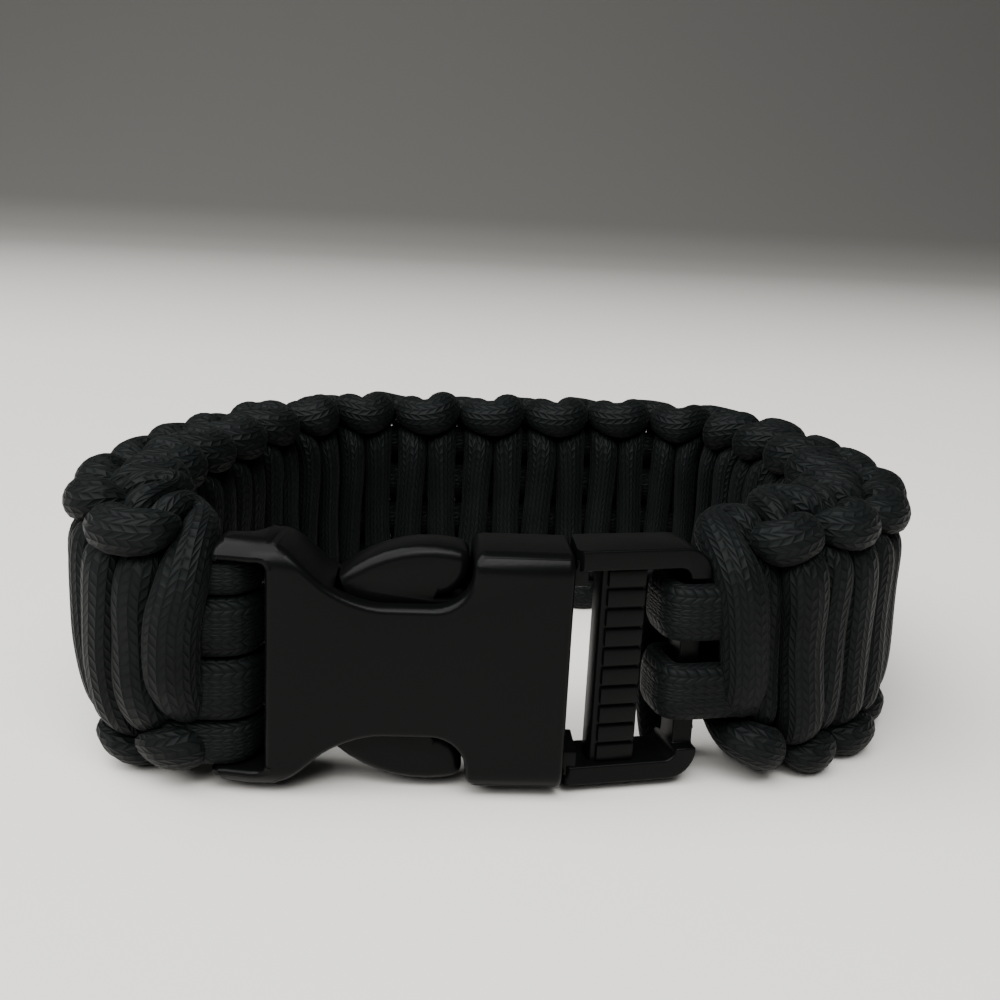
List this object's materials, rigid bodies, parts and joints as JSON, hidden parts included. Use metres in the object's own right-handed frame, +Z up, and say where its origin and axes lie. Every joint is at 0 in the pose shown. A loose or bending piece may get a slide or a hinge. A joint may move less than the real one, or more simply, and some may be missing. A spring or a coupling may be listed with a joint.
{
  "type": "woven cord bracelet",
  "caption": "Closed bracelet of cobra-woven cord with a plastic side-release buckle; it lies on the side edge of its band.",
  "frame": {"origin": "under the middle of the whole bracelet, on the surface it rests on", "axes": "+Z up, across the width of the band; +X along the buckle, from the receptacle to the insert; the buckle faces -Y"},
  "size_m": [0.075, 0.0574, 0.0245],
  "materials": {
    "cord": "matt braided nylon, black",
    "buckle": "satin moulded plastic, black"
  },
  "bodies": {
    "root": {"woven_band": "cord", "receptacle_wrap_1": "cord", "receptacle_wrap_2": "cord", "receptacle_wrap_3": "cord", "receptacle_wrap_4": "cord", "insert_wrap_1": "cord", "insert_wrap_2": "cord", "insert_cross_cord": "cord", "buckle_receptacle": "buckle", "buckle_insert": "buckle"}
  },
  "joints": []
}
